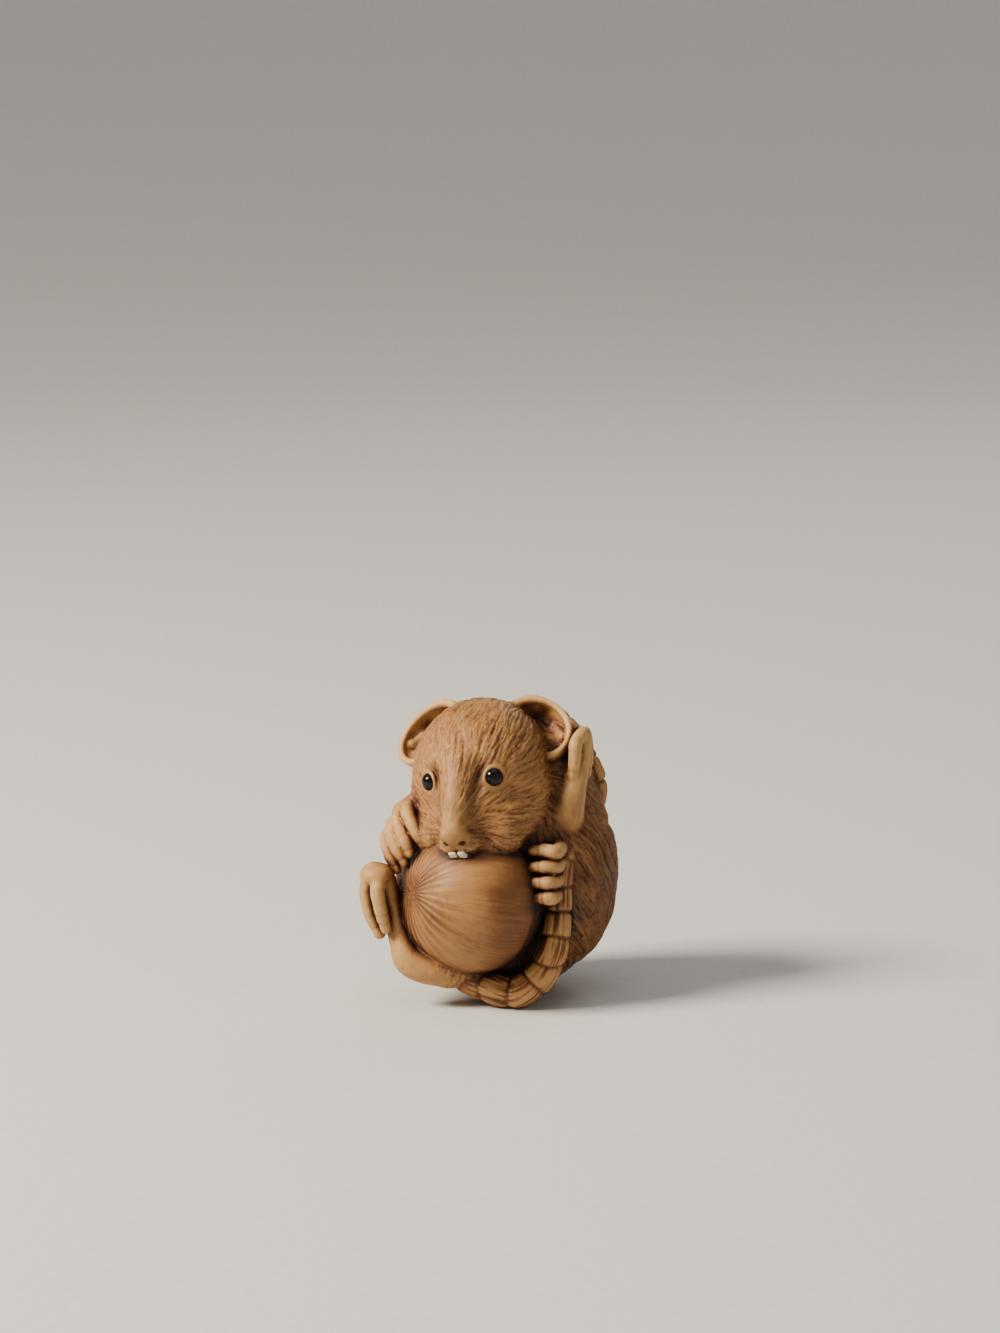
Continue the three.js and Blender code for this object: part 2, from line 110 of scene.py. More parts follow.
RIGHT_FINGERS = [
    [(-11.4, -1.8, 25.4, 1.05), (-12.0, -4.4, 25.0, 1.0), (-10.9, -6.2, 22.9, 0.9),
     (-9.9, -6.4, 21.2, 0.65)],
    [(-12.2, -1.6, 24.8, 1.05), (-13.2, -4.2, 23.9, 1.0), (-12.3, -6.0, 21.7, 0.9),
     (-11.7, -6.2, 20.0, 0.65)],
    [(-12.8, -1.4, 24.0, 1.05), (-14.1, -3.9, 22.8, 1.0), (-13.3, -5.6, 20.4, 0.9),
     (-12.4, -5.9, 18.7, 0.65)],
    [(-13.0, -1.0, 23.0, 1.05), (-14.7, -3.2, 21.4, 1.0), (-14.2, -4.7, 19.2, 0.85),
     (-13.4, -5.2, 17.6, 0.6)],
]
LEFT_FINGERS = [
    [(x, y, z + 0.1, 0.68), (x + 1.5, y - 0.4, z + 0.15, 0.95), (7.0, -9.0, z, 0.95),
     (7.8, -6.1, z, 0.95)]
    for x, y, z in ((4.3, -8.2, 20.7), (4.37, -9.2, 18.78), (4.58, -10.0, 16.86),
                    (4.93, -10.3, 14.94))
]
TAIL = [
    (-4.6, -6.0, 3.9, 2.3), (-1.4, -7.8, 2.7, 2.05), (1.9, -8.5, 1.9, 2.1),
    (4.8, -8.8, 3.9, 2.05), (6.6, -8.6, 7.0, 1.95), (7.3, -7.9, 10.2, 1.85),
    (7.5, -7.2, 13.3, 1.75), (7.7, -6.4, 16.6, 1.65), (8.4, -4.2, 20.0, 1.6),
    (10.2, 0.4, 21.6, 1.6), (11.8, 3.9, 23.2, 1.55), (12.6, 5.2, 25.6, 1.5),
    (12.3, 5.9, 28.3, 1.45), (10.7, 6.8, 31.6, 1.35), (8.5, 7.8, 34.6, 1.3),
    (6.0, 9.2, 35.8, 1.2), (2.8, 11.2, 34.6, 1.1), (-0.8, 12.6, 32.0, 1.0),
    (-3.4, 13.4, 28.6, 0.85), (-4.6, 13.8, 25.6, 0.6),
]
TAIL_SLEEVES, SLEEVE_SPREAD = 24, 0.85

# The knife's work, in millimetres.
GRAIN_OF_MESH = 0.125  # spacing of the working mesh before it is thinned
MOST_TRIANGLES = 196000
FACET_DEPTH = 0.4  # how far the block's facets may lie off the smooth forms
HAIR_CUT_LONG, HAIR_CUT_APART, HAIR_CUT_TRIES = 2.4, 0.4, 24000
LOCK_LONG, LOCK_APART, LOCK_TRIES = 3.2, 1.0, 9000
CROWN = (-1.0, -1.5, 33.0)  # the body's hair runs down from here
NOSE_END = (0, NOSE_REACH + 1.0, 0.4)  # and the face's hair back from here
rng = np.random.default_rng(8)


# ---- distances from round forms, below zero inside -------------------------------------------
def unit(v):
    v = np.asarray(v, float)
    return v / np.maximum(np.linalg.norm(v, axis=-1, keepdims=True), 1e-9)


def egg(points, middle, half, axes=None):
    p = points - np.asarray(middle)
    if axes is not None:
        p = p @ axes.T
    half = np.asarray(half, float)
    near = np.linalg.norm(p / half, axis=1)
    slope = np.linalg.norm(p / half**2, axis=1)
    return near * (near - 1) / np.maximum(slope, 1e-9)


def bar(points, start, end, start_radius, end_radius):
    start, run = np.asarray(start), np.asarray(end) - np.asarray(start)
    t = np.clip((points - start) @ run / (run @ run), 0, 1)
    away = np.linalg.norm(points - start - t[:, None] * run, axis=1)
    return away - start_radius - t * (end_radius - start_radius)


def join(a, b, soft):
    """The nearer of two forms, flowing into each other over the soft width."""
    if soft <= 0:
        return np.minimum(a, b)
    h = np.maximum(soft - np.abs(a - b), 0) / soft
    return np.minimum(a, b) - h * h * soft / 4


def cut(a, b, soft):
    """Form a with form b taken out of it."""
    return -join(-a, b, soft)


def step(low_edge, high_edge, x):
    t = np.clip((x - low_edge) / (high_edge - low_edge), 0, 1)
    return t * t * (3 - 2 * t)


class Limb:
    """A smooth tapering run through points of x, y, z, radius."""

    def __init__(self, run, count=10):
        run = np.asarray(run, float)
        ends = np.vstack([2 * run[0] - run[1], run, 2 * run[-1] - run[-2]])
        places, radii = [], []
        for i in range(len(run) - 1):
            a, b, c, d = ends[i:i + 4, :3]
            ab, bc, cd = (np.linalg.norm(q - p) ** 0.5 for p, q in ((a, b), (b, c), (c, d)))
            leave = ((b - a) / ab - (c - a) / (ab + bc) + (c - b) / bc) * bc
            meet = ((c - b) / bc - (d - b) / (bc + cd) + (d - c) / cd) * bc
            for t in np.arange(count) / count:
                bend = ((-3 * b + 3 * c - 2 * leave - meet) * t**2
                        + (2 * b - 2 * c + leave + meet) * t**3)
                places.append(b + leave * t + bend)
                radii.append(run[i, 3] + (run[i + 1, 3] - run[i, 3]) * t)
        self.line = np.vstack([places, run[-1, :3]])
        self.radii = np.append(radii, run[-1, 3])
        self.along = np.append(0, np.cumsum(np.linalg.norm(np.diff(self.line, axis=0), axis=1)))
        self.length = self.along[-1]
        self.side = self.carried_side()

    def carried_side(self):
        """A direction square to the run at each place, carried along it without twisting."""
        ways = unit(np.gradient(self.line, axis=0))
        side = unit(np.cross(ways[0], (0.3, 0.2, 1)))
        sides = []
        for way in ways:
            side = unit(side - way * (side @ way))
            sides.append(side)
        self.ways = ways
        return np.array(sides)

    def nearest(self, points, reach=3.0):
        """For each point: distance outside the limb, length along it, and turn about it."""
        away = np.full(len(points), 1e3)
        along = np.zeros(len(points))
        turn = np.zeros(len(points))
        wide = self.radii.max() + reach
        inside = np.all((points > self.line.min(0) - wide) & (points < self.line.max(0) + wide),
                        axis=1)
        chosen = np.flatnonzero(inside)
        if not len(chosen):
            return away, along, turn
        p = points[chosen]
        best = np.full(len(p), 1e3)
        best_along = np.zeros(len(p))
        best_piece = np.zeros(len(p), int)
        for i in range(len(self.line) - 1):
            run = self.line[i + 1] - self.line[i]
            t = np.clip((p - self.line[i]) @ run / (run @ run), 0, 1)
            d = np.linalg.norm(p - self.line[i] - t[:, None] * run, axis=1)
            d -= self.radii[i] + t * (self.radii[i + 1] - self.radii[i])
            closer = d < best
            best[closer] = d[closer]
            best_along[closer] = self.along[i] + (t * np.linalg.norm(run))[closer]
            best_piece[closer] = i
        arm = p - self.line[best_piece]
        side = self.side[best_piece]
        other = np.cross(self.ways[best_piece], side)
        away[chosen] = best
        along[chosen] = best_along
        turn[chosen] = np.arctan2((arm * other).sum(1), (arm * side).sum(1))
        return away, along, turn


# ---- the forms -------------------------------------------------------------------------------
right = unit(HEAD_RIGHT)
forward = unit(np.asarray(HEAD_FORWARD) - right * (np.asarray(HEAD_FORWARD) @ right))
up = np.cross(forward, right)
HEAD_AXES = np.array([right, forward, up])


def in_head(p):
    return np.asarray(p, float) @ HEAD_AXES + HEAD_MIDDLE


def both_sides(p):
    return [(side * p[0], p[1], p[2]) for side in (1, -1)]


def head_skin(points):
    p = (points - HEAD_MIDDLE) @ HEAD_AXES.T
    d = egg(p, (0, 0, 0), SKULL)
    d = join(d, bar(p, (0, 5, 0.6), (0, NOSE_REACH - 1.2, 0.3), 6.0, 1.9), 3)
    for at in both_sides((4.9, 2.8, -3.0)):
        d = join(d, egg(p, at, (4.4, 5.6, 4.8)), 3)  # jowls
    for at in both_sides((3.9, 8.8, -3.2)):
        d = join(d, egg(p, at, (3.6, 4.4, 3.6)), 2.5)  # whisker cheeks
    for side in (1, -1):  # the hollows beside the nose
        d = cut(d, bar(p, (side * 3.6, 8.6, 6.2), (side * 3.1, 14.2, 2.2), 1.9, 1.6), 1.3)
    d = join(d, bar(p, (0, 6, 5.0), (0, 11, 3.15), 2.7, 1.6), 0.8)
    d = join(d, bar(p, (0, 11, 3.15), (0, NOSE_REACH - 0.6, 0.95), 1.6, 1.65), 0.8)
    for at in both_sides((1.15, 13.6, -1.4)):
        d = join(d, egg(p, at, (1.6, 1.8, 1.1)), 1.2)  # lips
    return join(d, egg(p, (0, 11.2, -4.6), (3.4, 3.4, 2.8)), 2)


def trunk_skin(points):
    d = np.full(len(points), 1e3)
    for middle, half, soft in TRUNK_FORMS:
        d = join(d, egg(points, middle, half), soft)
    return d


nut_axis = unit(NUT_TIP)
nut_turn = unit(np.cross((0, 1, 0), nut_axis))
nut_angle = math.acos(nut_axis[1])


def rotation(axis, angle):
    x, y, z = axis
    k = np.array([[0, -z, y], [z, 0, -x], [-y, x, 0]])
    return np.eye(3) + math.sin(angle) * k + (1 - math.cos(angle)) * k @ k


NUT_AXES = rotation(nut_turn, nut_angle).T  # its rows are the nut's own axes, the tip along +Y


def nut_skin(points):
    return egg(points, NUT_MIDDLE, (NUT_WIDE, NUT_TALL, NUT_WIDE), NUT_AXES)


def ear_axes(side):
    _, faces, long, _ = EARS[side]
    faces = unit(np.array(faces) @ HEAD_AXES)
    long = np.array(long) @ HEAD_AXES
    long = unit(long - faces * (long @ faces))
    return np.array([long, np.cross(faces, long), faces])


def ear_skin(points, side):
    middle, _, _, half = EARS[side]
    p = (points - in_head(middle)) @ ear_axes(side).T
    shell = egg(p, (0, 0, -0.5), (half[0], half[1], 3.4))
    shell = -join(-shell, 0.35 - p[:, 2], 0.25)
    bowl = egg(p, (0, 0, 0.3), (half[0] - EAR_WALL, half[1] - EAR_WALL, 3.3))
    shell = cut(shell, bowl, 0.25)
    # The rim rolls outward, and it is thickest where it comes up from the forehead.
    flat = np.hypot(p[:, 0] / (half[0] * 0.94), p[:, 1] / (half[1] * 0.94))
    thick = 0.36 + 0.24 * step(0.2, 1.0, -p[:, 0] / np.maximum(np.hypot(p[:, 0], p[:, 1]), 0.1))
    rim = np.hypot((flat - 1) * 4.4, p[:, 2] - 0.15) - thick
    shell = join(shell, rim, 0.4)
    # Folds of the ear's hollow: a shelf low down, and a ridge that runs up out of it.
    shell = join(shell, egg(p, (2.2, 0.5 * side, -1.9), (2.2, 2.1, 0.9)), 0.9)
    shell = join(shell, bar(p, (3.0, 1.6 * side, -0.9), (0.6, 2.2 * side, -1.9), 0.7, 0.5), 0.5)
    shell = join(shell, bar(p, (2.6, -1.4 * side, -0.8), (-0.8, -0.9 * side, -2.3), 0.6, 0.45), 0.5)
    return join(shell, egg(p, (1.7, 0.4 * side, -1.3), (0.9, 0.5, 0.5)), 0.5)


def on_head(across, high_up, sunk=0.0):
    """The point of the head's skin straight ahead of a place across and up, or just under it."""
    at = in_head((across, 24, high_up))
    for _ in range(80):
        at = at - forward * (head_skin(at[None])[0] + sunk) * 0.8
    return at


eye_middle = {side: on_head(side * EYE_ACROSS[side], EYE_UP, EYE_SUNK) for side in (1, -1)}
eye_faces = {side: unit(np.array((side * 0.62, 0.68, 0.4)) @ HEAD_AXES) for side in (1, -1)}


def lid_skin(points, side):
    p = points - eye_middle[side] - eye_faces[side] * 0.3
    out = p @ eye_faces[side]
    flat = np.sqrt(np.maximum((p * p).sum(1) - out * out, 0))
    return np.hypot(flat - EYE_RADIUS - 0.12, out) - 0.24


skin_limbs = {
    "shin": [Limb(SHIN)],
    "lower_toes": [Limb(toe) for toe in LOWER_TOES],
    "raised_foot": [Limb(RAISED_FOOT)],
    "raised_toes": [Limb(toe) for toe in RAISED_TOES],
    "right_arm": [Limb(RIGHT_ARM)],
    "right_fingers": [Limb(finger) for finger in RIGHT_FINGERS],
    "left_fingers": [Limb(finger) for finger in LEFT_FINGERS],
}
tail = Limb(TAIL, 8)

# How softly each group flows into what it lies on.
SOFT = {"shin": 0.9, "lower_toes": 0.2, "raised_foot": 0.6, "raised_toes": 0.2, "right_arm": 0.5,
        "right_fingers": 0.2, "left_fingers": 0.2}


def groups(points):
    """The distance outside each part of the carving, by name."""
    d = {"trunk": trunk_skin(points), "head": head_skin(points), "nut": nut_skin(points)}
    for name, limbs in skin_limbs.items():
        near = np.full(len(points), 1e3)
        for limb in limbs:
            near = join(near, limb.nearest(points)[0], 0.12)
        d[name] = near
    d["lower_toes"] = join(d["lower_toes"], egg(points, *SOLE), 0.3)
    d["tail"] = tail.nearest(points)[0]
    for side, name in ((1, "left"), (-1, "right")):
        d[name + "_ear"] = ear_skin(points, side)
        d[name + "_lid"] = lid_skin(points, side)
    return d


def cord_holes(points):
    """The drilling from the back and the one from underneath, which meet inside."""
    x, y, z = points.T
    back = np.maximum(np.hypot(x - CORD_HOLE_X, z - CORD_HOLE_MEET[1]) - CORD_HOLE_RADIUS,
                      CORD_HOLE_MEET[0] - y)
    under = np.maximum(np.hypot(x - CORD_HOLE_X, y - CORD_HOLE_MEET[0]) - CORD_HOLE_RADIUS,
                       z - CORD_HOLE_MEET[1])
    elbow = egg(points, (CORD_HOLE_X, *CORD_HOLE_MEET), (CORD_HOLE_RADIUS,) * 3)
    return np.minimum(np.minimum(back, under), elbow)


def whole(points, parts=None):
    """The distance outside the whole carving."""
    parts = parts or groups(points)
    d = join(parts["trunk"], parts["head"], 0.6)
    for name in ("left_ear", "right_ear"):
        d = join(d, parts[name], 0.5)
    for name in ("left_lid", "right_lid"):
        d = join(d, parts[name], 0.35)
    for name, soft in SOFT.items():
        d = join(d, parts[name], soft)
    d = join(d, parts["nut"], 0.15)
    d = join(d, parts["tail"], 0.15)
    return -join(-cut(d, cord_holes(points), 0.5), points[:, 2], 0.3)


def slope(points, off):
    """The way straight out of the carving at points that are off its skin by so much."""
    nudge = 0.02
    return unit(np.column_stack([whole(points + nudge * way) - off for way in np.eye(3)]))


# ---- noise and strokes -----------------------------------------------------------------------
lattice = rng.random((32, 32, 32))


def mottle(points, spacing):
    """Smooth noise from -1 to 1 whose patches are about the spacing across."""
    p = points / spacing
    cell = np.floor(p).astype(int)
    f = p - cell
    f = f * f * (3 - 2 * f)
    value = np.zeros(len(p))
    for corner in np.ndindex(2, 2, 2):
        share = np.prod(np.where(corner, f, 1 - f), axis=1)
        value += share * lattice[tuple(((cell + corner) % 32).T)]
    return value * 2 - 1


class Finder:
    """Finds a point of the carving beside any place, by a grid of small cells."""

    def __init__(self, points, cell=0.17):
        self.cell, self.low = cell, points.min(0) - 4 * cell
        home = np.floor((points - self.low) / cell).astype(int)
        self.index = np.full(home.max(0) + 5, -1, np.int32)
        moves = sorted(np.ndindex(3, 3, 3), key=lambda move: -sum((m - 1) ** 2 for m in move))
        for move in moves:  # the cell's own point is put in last
            self.index[tuple((home + move - 1).T)] = np.arange(len(points))

    def beside(self, places, otherwise):
        home = np.floor((places - self.low) / self.cell).astype(int)
        home = np.clip(home, 0, np.array(self.index.shape) - 1)
        found = self.index[tuple(home.T)]
        return np.where(found < 0, otherwise, found)


def combed(points, normals, ways, finder, seeds, reach):
    """The seeds drawn out along the hair into strands of about the reach, and evened so that
    their spread is 1."""
    pace = 0.13
    count = int(reach / pace)
    total = seeds.copy()
    for sense in (1, -1):
        at, found = points, np.arange(len(points))
        for i in range(count):
            at = at + ways[found] * (sense * pace)
            found = finder.beside(at, found)
            out = ((at - points[found]) * normals[found]).sum(1)
            at = at - normals[found] * out[:, None]
            total += seeds[found] * (1 - (i / count) ** 2)
    total -= total.mean()
    return total / total.std()


def lay_strokes(points, normals, ways, wanted, long, wide, tries):
    """Places for knife strokes of about that length and spacing, no two quite alike."""
    order = rng.choice(np.flatnonzero(wanted > 0.05), tries, replace=False)
    cells, kept = {}, []
    for i in order:
        p, way = points[i], ways[i]
        home = tuple(np.floor(p / long).astype(int))
        near = [j for dx in (-1, 0, 1) for dy in (-1, 0, 1) for dz in (-1, 0, 1)
                for j in cells.get((home[0] + dx, home[1] + dy, home[2] + dz), ())]
        if near:
            arm = points[near] - p
            along = arm @ way
            square = (arm * arm).sum(1)
            if np.any((along / (0.8 * long)) ** 2 + (square - along**2) / wide**2 < 1):
                continue
        cells.setdefault(home, []).append(i)
        kept.append(i)
    kept = np.array(kept)
    lean = rng.normal(0, 0.07, len(kept))[:, None]
    across = np.cross(normals[kept], ways[kept])
    way = unit(ways[kept] + across * lean)
    return {
        "at": points[kept],
        "way": way,
        "across": unit(np.cross(normals[kept], way)),
        "long": long * rng.uniform(0.7, 1.35, len(kept)),
        "wide": wide * rng.uniform(0.8, 1.15, len(kept)),
        "bend": rng.normal(0, 0.03, len(kept)),
        "deep": rng.uniform(0.5, 1.0, len(kept)),
    }


def tree_of(points):
    tree = kdtree.KDTree(len(points))
    for i, p in enumerate(points):
        tree.insert(p, i)
    tree.balance()
    return tree


def worked(points, tree, strokes, shape):
    """How strongly the strokes show at each point. shape(along, across) is one stroke's section,
    with along from -1 to 1 over its length and across in its own widths."""
    shown = np.zeros(len(points))
    for i in range(len(strokes["at"])):
        half = strokes["long"][i] / 2
        near = [found[1] for found in tree.find_range(strokes["at"][i], half)]
        if not near:
            continue
        near = np.array(near)
        arm = points[near] - strokes["at"][i]
        along = arm @ strokes["way"][i]
        across = arm @ strokes["across"][i] - strokes["bend"][i] * along * along
        value = shape(along / half, across / strokes["wide"][i]) * strokes["deep"][i]
        shown[near] = np.maximum(shown[near], value)
    return shown


def hair_cut(along, across):
    """A V cut by the knife that thins out at both ends."""
    return np.clip(1 - np.abs(across) / 0.42, 0, 1) * np.sqrt(np.clip(1 - along**2, 0, 1))


def lock_rise(along, across):
    """A lock of hair: it rises from its root and drops at its tip."""
    rise = step(-1, 0.45, along) * (1 - step(0.5, 0.98, along))
    return np.clip(1 - (across / (0.62 - 0.22 * along)) ** 2, 0, 1) * rise


# ---- which way the hair lies -----------------------------------------------------------------
def shares(parts):
    """How far each part owns each point, from 0 to 1."""
    nearest = np.minimum.reduce(list(parts.values()))
    own = {name: np.exp(-(d - nearest) / 0.16) for name, d in parts.items()}
    total = sum(own.values())
    return {name: value / total for name, value in own.items()}


def hair(points, normals, own):
    """How thickly hair covers each point, and the way it lies."""
    p = (points - HEAD_MIDDLE) @ HEAD_AXES.T
    from_nose = np.linalg.norm(p - NOSE_END, axis=1)
    ridge = np.hypot(p[:, 0], bar(p * (0, 1, 1), (0, 6, 7.2), (0, NOSE_REACH, 2.4), 0, 0) * 0.5)
    bare = 1 - step(1.5, 3.4, from_nose)
    bare = np.maximum(bare, 0.7 * (1 - step(0.5, 1.5, ridge)) * (1 - step(6, 12, from_nose)))
    for side in (1, -1):
        bare = np.maximum(bare, 1 - step(0.0, 0.45, lid_skin(points, side)))
    shin = skin_limbs["shin"][0]
    _, along_shin, _ = shin.nearest(points)
    thigh = own["shin"] * (1 - step(3.0, 6.5, along_shin))
    cover = own["head"] * (1 - bare) + own["trunk"] + thigh
    cover = cover * step(0.1, 1.2, points[:, 2]) * step(0.5, 1.3, cord_holes(points))

    head_way = unit(p - NOSE_END - (0, 0, 1.5)) @ HEAD_AXES
    trunk_way = unit(points - CROWN) + 0.25 * unit(points - TRUNK_MIDDLE)
    way = own["head"][:, None] * head_way + (1 - own["head"])[:, None] * trunk_way
    stir = 0.35 * mottle(points, 3.2) + 0.2 * mottle(points + 50, 1.3)
    way = way - normals * (way * normals).sum(1)[:, None]
    way = unit(way)
    way = unit(way + np.cross(normals, way) * stir[:, None])
    return np.clip(cover, 0, 1), way


def lie_of_surface(points, own):
    """Places, in millimetres, in a space where the lines of the surface all run slowly: out from
    the nose on the head, down the body, along the tail and from the tip of the nut."""
    stir = np.column_stack([mottle(points + shift, 2.2) for shift in (0, 40, 80)]) * 0.5
    out = points * (1, 1, 0.15)
    nose_bridge = in_head((0, NOSE_REACH + 1.0, 1.9))
    for name, source, reach in (("trunk", CROWN, 18), ("shin", CROWN, 18),
                                ("head", nose_bridge, 12)):
        arm = points - source
        far = np.linalg.norm(arm, axis=1)
        place = unit(arm) * (reach + 0.07 * far)[:, None] + stir
        out = np.where(own[name][:, None] > 0.5, place, out)
    _, along, turn = tail.nearest(points, 1.0)
    radius = np.interp(along, tail.along, tail.radii)
    place = np.column_stack((np.cos(turn) * radius, np.sin(turn) * radius, along * 0.1))
    out = np.where(own["tail"][:, None] > 0.5, place, out)
    q = (points - NUT_MIDDLE) @ NUT_AXES.T
    from_tip = np.arccos(np.clip(q[:, 1] / np.linalg.norm(q, axis=1), -1, 1))
    flat = unit(q[:, [0, 2]]) * NUT_WIDE
    return np.where(own["nut"][:, None] > 0.5, np.column_stack((flat, from_tip)), out)


# ---- the knife's work on each part -----------------------------------------------------------
sleeve_lean = rng.normal(0, 0.07, TAIL_SLEEVES + 1)
nut_waves = [(int(n), rng.uniform(0, 2 * math.pi), rng.uniform(0.4, 1))
             for n in rng.integers(45, 120, 9)]


def tail_relief(points):
    """The rings and the lengthwise cuts of the tail: height and depth of stain."""
    _, along, turn = tail.nearest(points, 1.0)
    share = np.clip(along / tail.length, 0, 1)
    radius = np.interp(along, tail.along, tail.radii)
    place = TAIL_SLEEVES * (1 - (1 - share) ** SLEEVE_SPREAD)
    lean = sleeve_lean[np.clip(np.round(place).astype(int), 0, TAIL_SLEEVES)]
    place = place + lean * np.cos(turn + 3 * lean)
    sleeve = np.clip(np.floor(place).astype(int), 0, TAIL_SLEEVES)
    part = place - sleeve
    narrowing = np.maximum(1 - share, 0.02) ** (1 - SLEEVE_SPREAD)
    length = tail.length / (TAIL_SLEEVES * SLEEVE_SPREAD) * narrowing
    edge = np.minimum(part, 1 - part) * length
    ring = np.exp(-((edge / 0.15) ** 2))
    shoulder = step(0, 0.55, edge)
    around = np.column_stack((np.cos(turn), np.sin(turn))) * (1.15 * radius)[:, None]
    drawn = np.column_stack((around, along * 0.09 + 7 * sleeve))
    lines = 1.5 * mottle(drawn, 0.27) + 0.5 * mottle(drawn + 31, 0.5)
    lines = np.clip(lines, -1, 1) * step(0.02, 0.3, edge)
    # Each ring stands a little over the next, like cups in a stack.
    height = 0.09 * radius * (shoulder - 0.8) + 0.12 * (0.5 - part) - 0.15 * ring + 0.09 * lines
    return height, np.clip(0.55 * ring + 0.8 * np.clip(-lines, 0, 1), 0, 1)


nut_down = NUT_AXES @ (0.35, -0.2, -1.0)
nut_lower = math.atan2(nut_down[2], -nut_down[0])


def nut_relief(points):
    """The flutes that run from the nut's tip, the fine lines past them and the rough base."""
    q = (points - NUT_MIDDLE) @ NUT_AXES.T
    from_tip = np.arccos(np.clip(q[:, 1] / np.linalg.norm(q, axis=1), -1, 1))
    turn = np.arctan2(q[:, 2], -q[:, 0])
    bent = turn + 0.02 * np.sin(3 * turn + 1) + 0.012 * mottle(points, 2.5)
    valley = np.abs(np.sin(bent * NUT_FLUTES / 2)) ** 0.7
    uneven = 0.85 + 0.3 * np.sin(5 * turn + 2)
    lower = np.clip(np.cos(turn - nut_lower), 0, 1)
    fading = np.exp(-(((from_tip - 0.22) / (0.36 + 0.3 * lower)) ** 2))
    deep = 0.3 * uneven * np.sin(np.minimum(1.8 * from_tip, 1.57)) * fading
    fine = sum(a * np.cos(n * bent + phase + 1.2 * np.sin(2 * from_tip + phase))
               for n, phase, a in nut_waves) / 2.6
    fine = fine * step(0.15, 0.6, from_tip)
    rough = step(2.02, 2.1, from_tip)
    scratch = np.abs(mottle(points * (1.0, 1.0, 0.35), 0.32))
    edge = np.exp(-(((from_tip - 2.04) * NUT_WIDE / 0.22) ** 2))
    height = -deep * valley + 0.014 * fine * (1 - rough) - 0.09 * rough * (1 - scratch) - 0.1 * edge
    height -= 0.25 * np.exp(-((from_tip / 0.12) ** 2))
    lined = np.clip(fine - 0.1, 0, 1) * (0.16 + 0.14 * mottle(points + 5, 3.0))
    star = valley**3 * np.exp(-(((from_tip - 0.13) / 0.15) ** 2)) * 0.8
    band = np.clip(mottle(np.column_stack((bent * 5, from_tip * 1.2, 0 * turn)), 0.8), 0, 1)
    # Darker towards the base, on the side away from the key lamp: partly stain, partly painted
    # shade.
    base_stain_and_shade = 0.42 * step(1.0, 1.75, from_tip + 0.25 * mottle(points, 3.0))  # towards the base
    stain = base_stain_and_shade + star + 0.22 * band * step(0.5, 1.2, from_tip) + deep * 2 * valley**2
    stain += lined * (1 - rough) + rough * (1 - scratch) * 0.6 + 0.4 * edge
    return height, np.clip(stain, 0, 1)


def digit_relief(points, limb, creases, claw):
    """Creases across a finger or toe, and its claw."""
    _, along, turn = limb.nearest(points, 1.0)
    height = np.zeros(len(points))
    stain = np.zeros(len(points))
    for share in creases:
        fold = np.exp(-(((along - share * limb.length) / 0.17) ** 2))
        knuckle = np.exp(-(((along - share * limb.length - 0.6) / 0.6) ** 2))
        height += 0.05 * knuckle - 0.02 * fold
        stain = np.maximum(stain, 0.15 * fold)
    claw_start = limb.length - claw if claw > 0 else -claw
    root = np.exp(-(((along - claw_start) / 0.13) ** 2))
    height -= 0.06 * root
    return height, np.maximum(stain, 0.35 * root)


def back_relief(points):
    """The haunches that swell out of the back, the line of the spine, and the hollows beside it."""
    height = np.zeros(len(points))
    stain = np.zeros(len(points))
    x, y, z = points.T
    for middle, half in HAUNCHES:
        d = egg(points, middle, half)
        # It shows behind and is lost in front.
        shown = step(-1.0, 3.5, y - middle[1] + 0.5 * (z - middle[2]))
        crease = np.exp(-((d / 0.8) ** 2)) * shown
        height += 0.3 * step(-3.5, 0.0, -d) * shown - 0.32 * crease
        stain = np.maximum(stain, 0.15 * crease)
    aside = x - SPINE_X - 0.8 * np.sin(z / 9)
    behind = step(6, 10, y) * step(7, 12, z) * (1 - step(28, 33, z))
    bones = 0.7 + 0.3 * np.cos(2 * math.pi * z / 2.4)
    height += behind * 0.3 * np.exp(-((aside / 1.1) ** 2)) * bones
    height -= behind * 0.3 * np.exp(-(((np.abs(aside) - 3.6) / 1.7) ** 2))
    return height, stain


DIGITS = {  # where along each kind of digit its creases are, and the length of its claw
    "lower_toes": ((0.3, 0.52, 0.7), 1.0),
    "raised_toes": ((0.25, 0.45, 0.65), 0.8),
    "right_fingers": ((0.3, 0.52, 0.7), 0.7),
    "left_fingers": ((0.3, 0.5), -0.9),
}


def groove(p, start, end, wide):
    """A soft groove along a line, from 0 to 1 at its bottom."""
    return np.exp(-((bar(p, start, end, 0, 0) / wide) ** 2))


def face_relief(points):
    """Nostrils, the groove from nose to lip, and the corners of the eyes."""
    p = (points - HEAD_MIDDLE) @ HEAD_AXES.T
    height = np.zeros(len(points))
    stain = np.zeros(len(points))
    for side in (1, -1):
        nostril = egg(p, (side * 1.15, NOSE_REACH + 0.6, -0.2), (0.3, 0.7, 0.2))
        nostril = np.exp(-(nostril.clip(0) / 0.12) ** 2)
        height -= 0.25 * nostril
        stain = np.maximum(stain, nostril)
        wing = groove(p, (side * 1.25, NOSE_REACH + 0.1, 0.5), (side * 1.15, NOSE_REACH, -0.8),
                      0.25)
        height -= 0.06 * wing
        stain = np.maximum(stain, 0.25 * wing)
        for end, lift in ((1.0, 0.25), (-1.0, -0.3)):
            corner = np.array((side * EYE_ACROSS[side], 7.3, EYE_UP))
            corner += (side * end * 1.5, -0.9 * end, lift)
            tail_end = corner + np.array((side * end * 0.5, -0.4 * end, lift * 0.6))
            cleft = groove(p, corner, tail_end, 0.26)
            height -= 0.14 * cleft
            stain = np.maximum(stain, 0.6 * cleft)
    philtrum = groove(p, (0, NOSE_REACH + 1.2, -0.7), (0, NOSE_REACH + 0.6, -2.2), 0.2)
    return height - 0.2 * philtrum, np.maximum(stain, 0.8 * philtrum)


